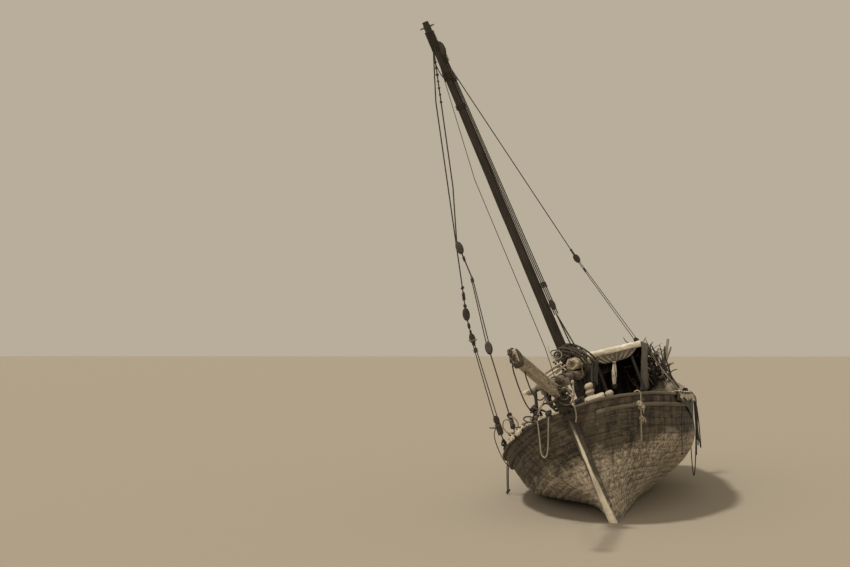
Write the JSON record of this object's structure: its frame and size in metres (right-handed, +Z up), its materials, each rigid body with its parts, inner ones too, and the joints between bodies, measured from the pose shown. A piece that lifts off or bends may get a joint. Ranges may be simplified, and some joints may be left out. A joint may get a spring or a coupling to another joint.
{
  "type": "dhow sailing boat",
  "caption": "Small planked wooden dhow heeled in the shallows, raked stem with bowsprit board, hung rudder and tiller, raking mast with stays, lowered lateen yard with furled sail, low awning",
  "frame": {"origin": "on the water surface amidships, straight above the keel's foot, with the boat heeled 20.5 degrees to starboard as it lies", "axes": "+X toward the bow, +Y to port and level, +Z straight up from the water"},
  "size_m": [15.69, 5.4597, 10.4011],
  "materials": {
    "weathered_plank": "dark weathered planks, oiled and sun-worn, with nail rows and streaks",
    "deck_plank": "worn bare deck planks",
    "bleached_wood": "pale sun-bleached timber with checks",
    "spar": "dark round timber, rubbed smooth",
    "iron": "rusted wrought iron",
    "canvas": "coarse furled sailcloth",
    "awning_cloth": "pale worn cotton cloth",
    "rope": "pale fibre rope",
    "dark_rope": "dark tarred fibre rope"
  },
  "bodies": {
    "boat": {"hull_planking": "weathered_plank", "keel": "weathered_plank", "stem_post": "bleached_wood", "sternpost": "weathered_plank", "transom": "weathered_plank", "main_deck": "deck_plank", "foredeck": "deck_plank", "poop_deck": "deck_plank", "bulwark_port": "weathered_plank", "bulwark_starboard": "weathered_plank", "rubbing_strake_port": "weathered_plank", "rubbing_strake_starboard": "weathered_plank", "rail_port": "weathered_plank", "rail_starboard": "weathered_plank", "hatch_coaming": "deck_plank", "hatch_boards": "bleached_wood", "rudder_iron_lower": "iron", "rudder_iron_middle": "iron", "rudder_iron_upper": "iron", "bowsprit_board": "bleached_wood", "bowsprit_band": "iron", "bow_crossbeam": "bleached_wood", "bollard_fore": "spar", "bollard_port": "spar", "bollard_starboard": "spar", "mast": "spar", "mast_step": "deck_plank", "mast_thwart": "weathered_plank", "masthead_collar": "dark_rope", "yard": "spar", "furled_sail": "canvas", "yard_crutch_fore": "weathered_plank", "yard_crutch_aft": "weathered_plank", "awning": "awning_cloth", "awning_frame_fore": "spar", "awning_frame_aft": "spar", "shroud_starboard_aft": "dark_rope", "shroud_starboard_fore": "dark_rope", "backstay_port": "dark_rope", "forestay": "dark_rope", "halyard": "dark_rope", "grapnel_anchor": "iron", "spare_poles": "bleached_wood", "spare_spar": "bleached_wood", "rail_cloth": "awning_cloth", "cord_bow_slack_upper": "dark_rope", "cord_bow_slack_lower": "dark_rope", "cord_bow_bight": "rope", "cord_port_bight": "dark_rope", "cord_port_loop_outer": "dark_rope", "cord_port_loop_inner": "dark_rope", "cord_starboard_tail_fore": "dark_rope", "cord_starboard_tail_aft": "dark_rope", "cord_port_fender": "rope"},
    "rudder_assembly": {"rudder": "weathered_plank", "tiller": "spar"}
  },
  "joints": [
    {"name": "rudder_swing", "type": "hinge", "parent": "boat", "child": "rudder_assembly", "pos_m": [-6.245, -0.52531, 0.80501], "axis": [0, -0.3502, 0.9367], "range_deg": [-35, 35]}
  ]
}
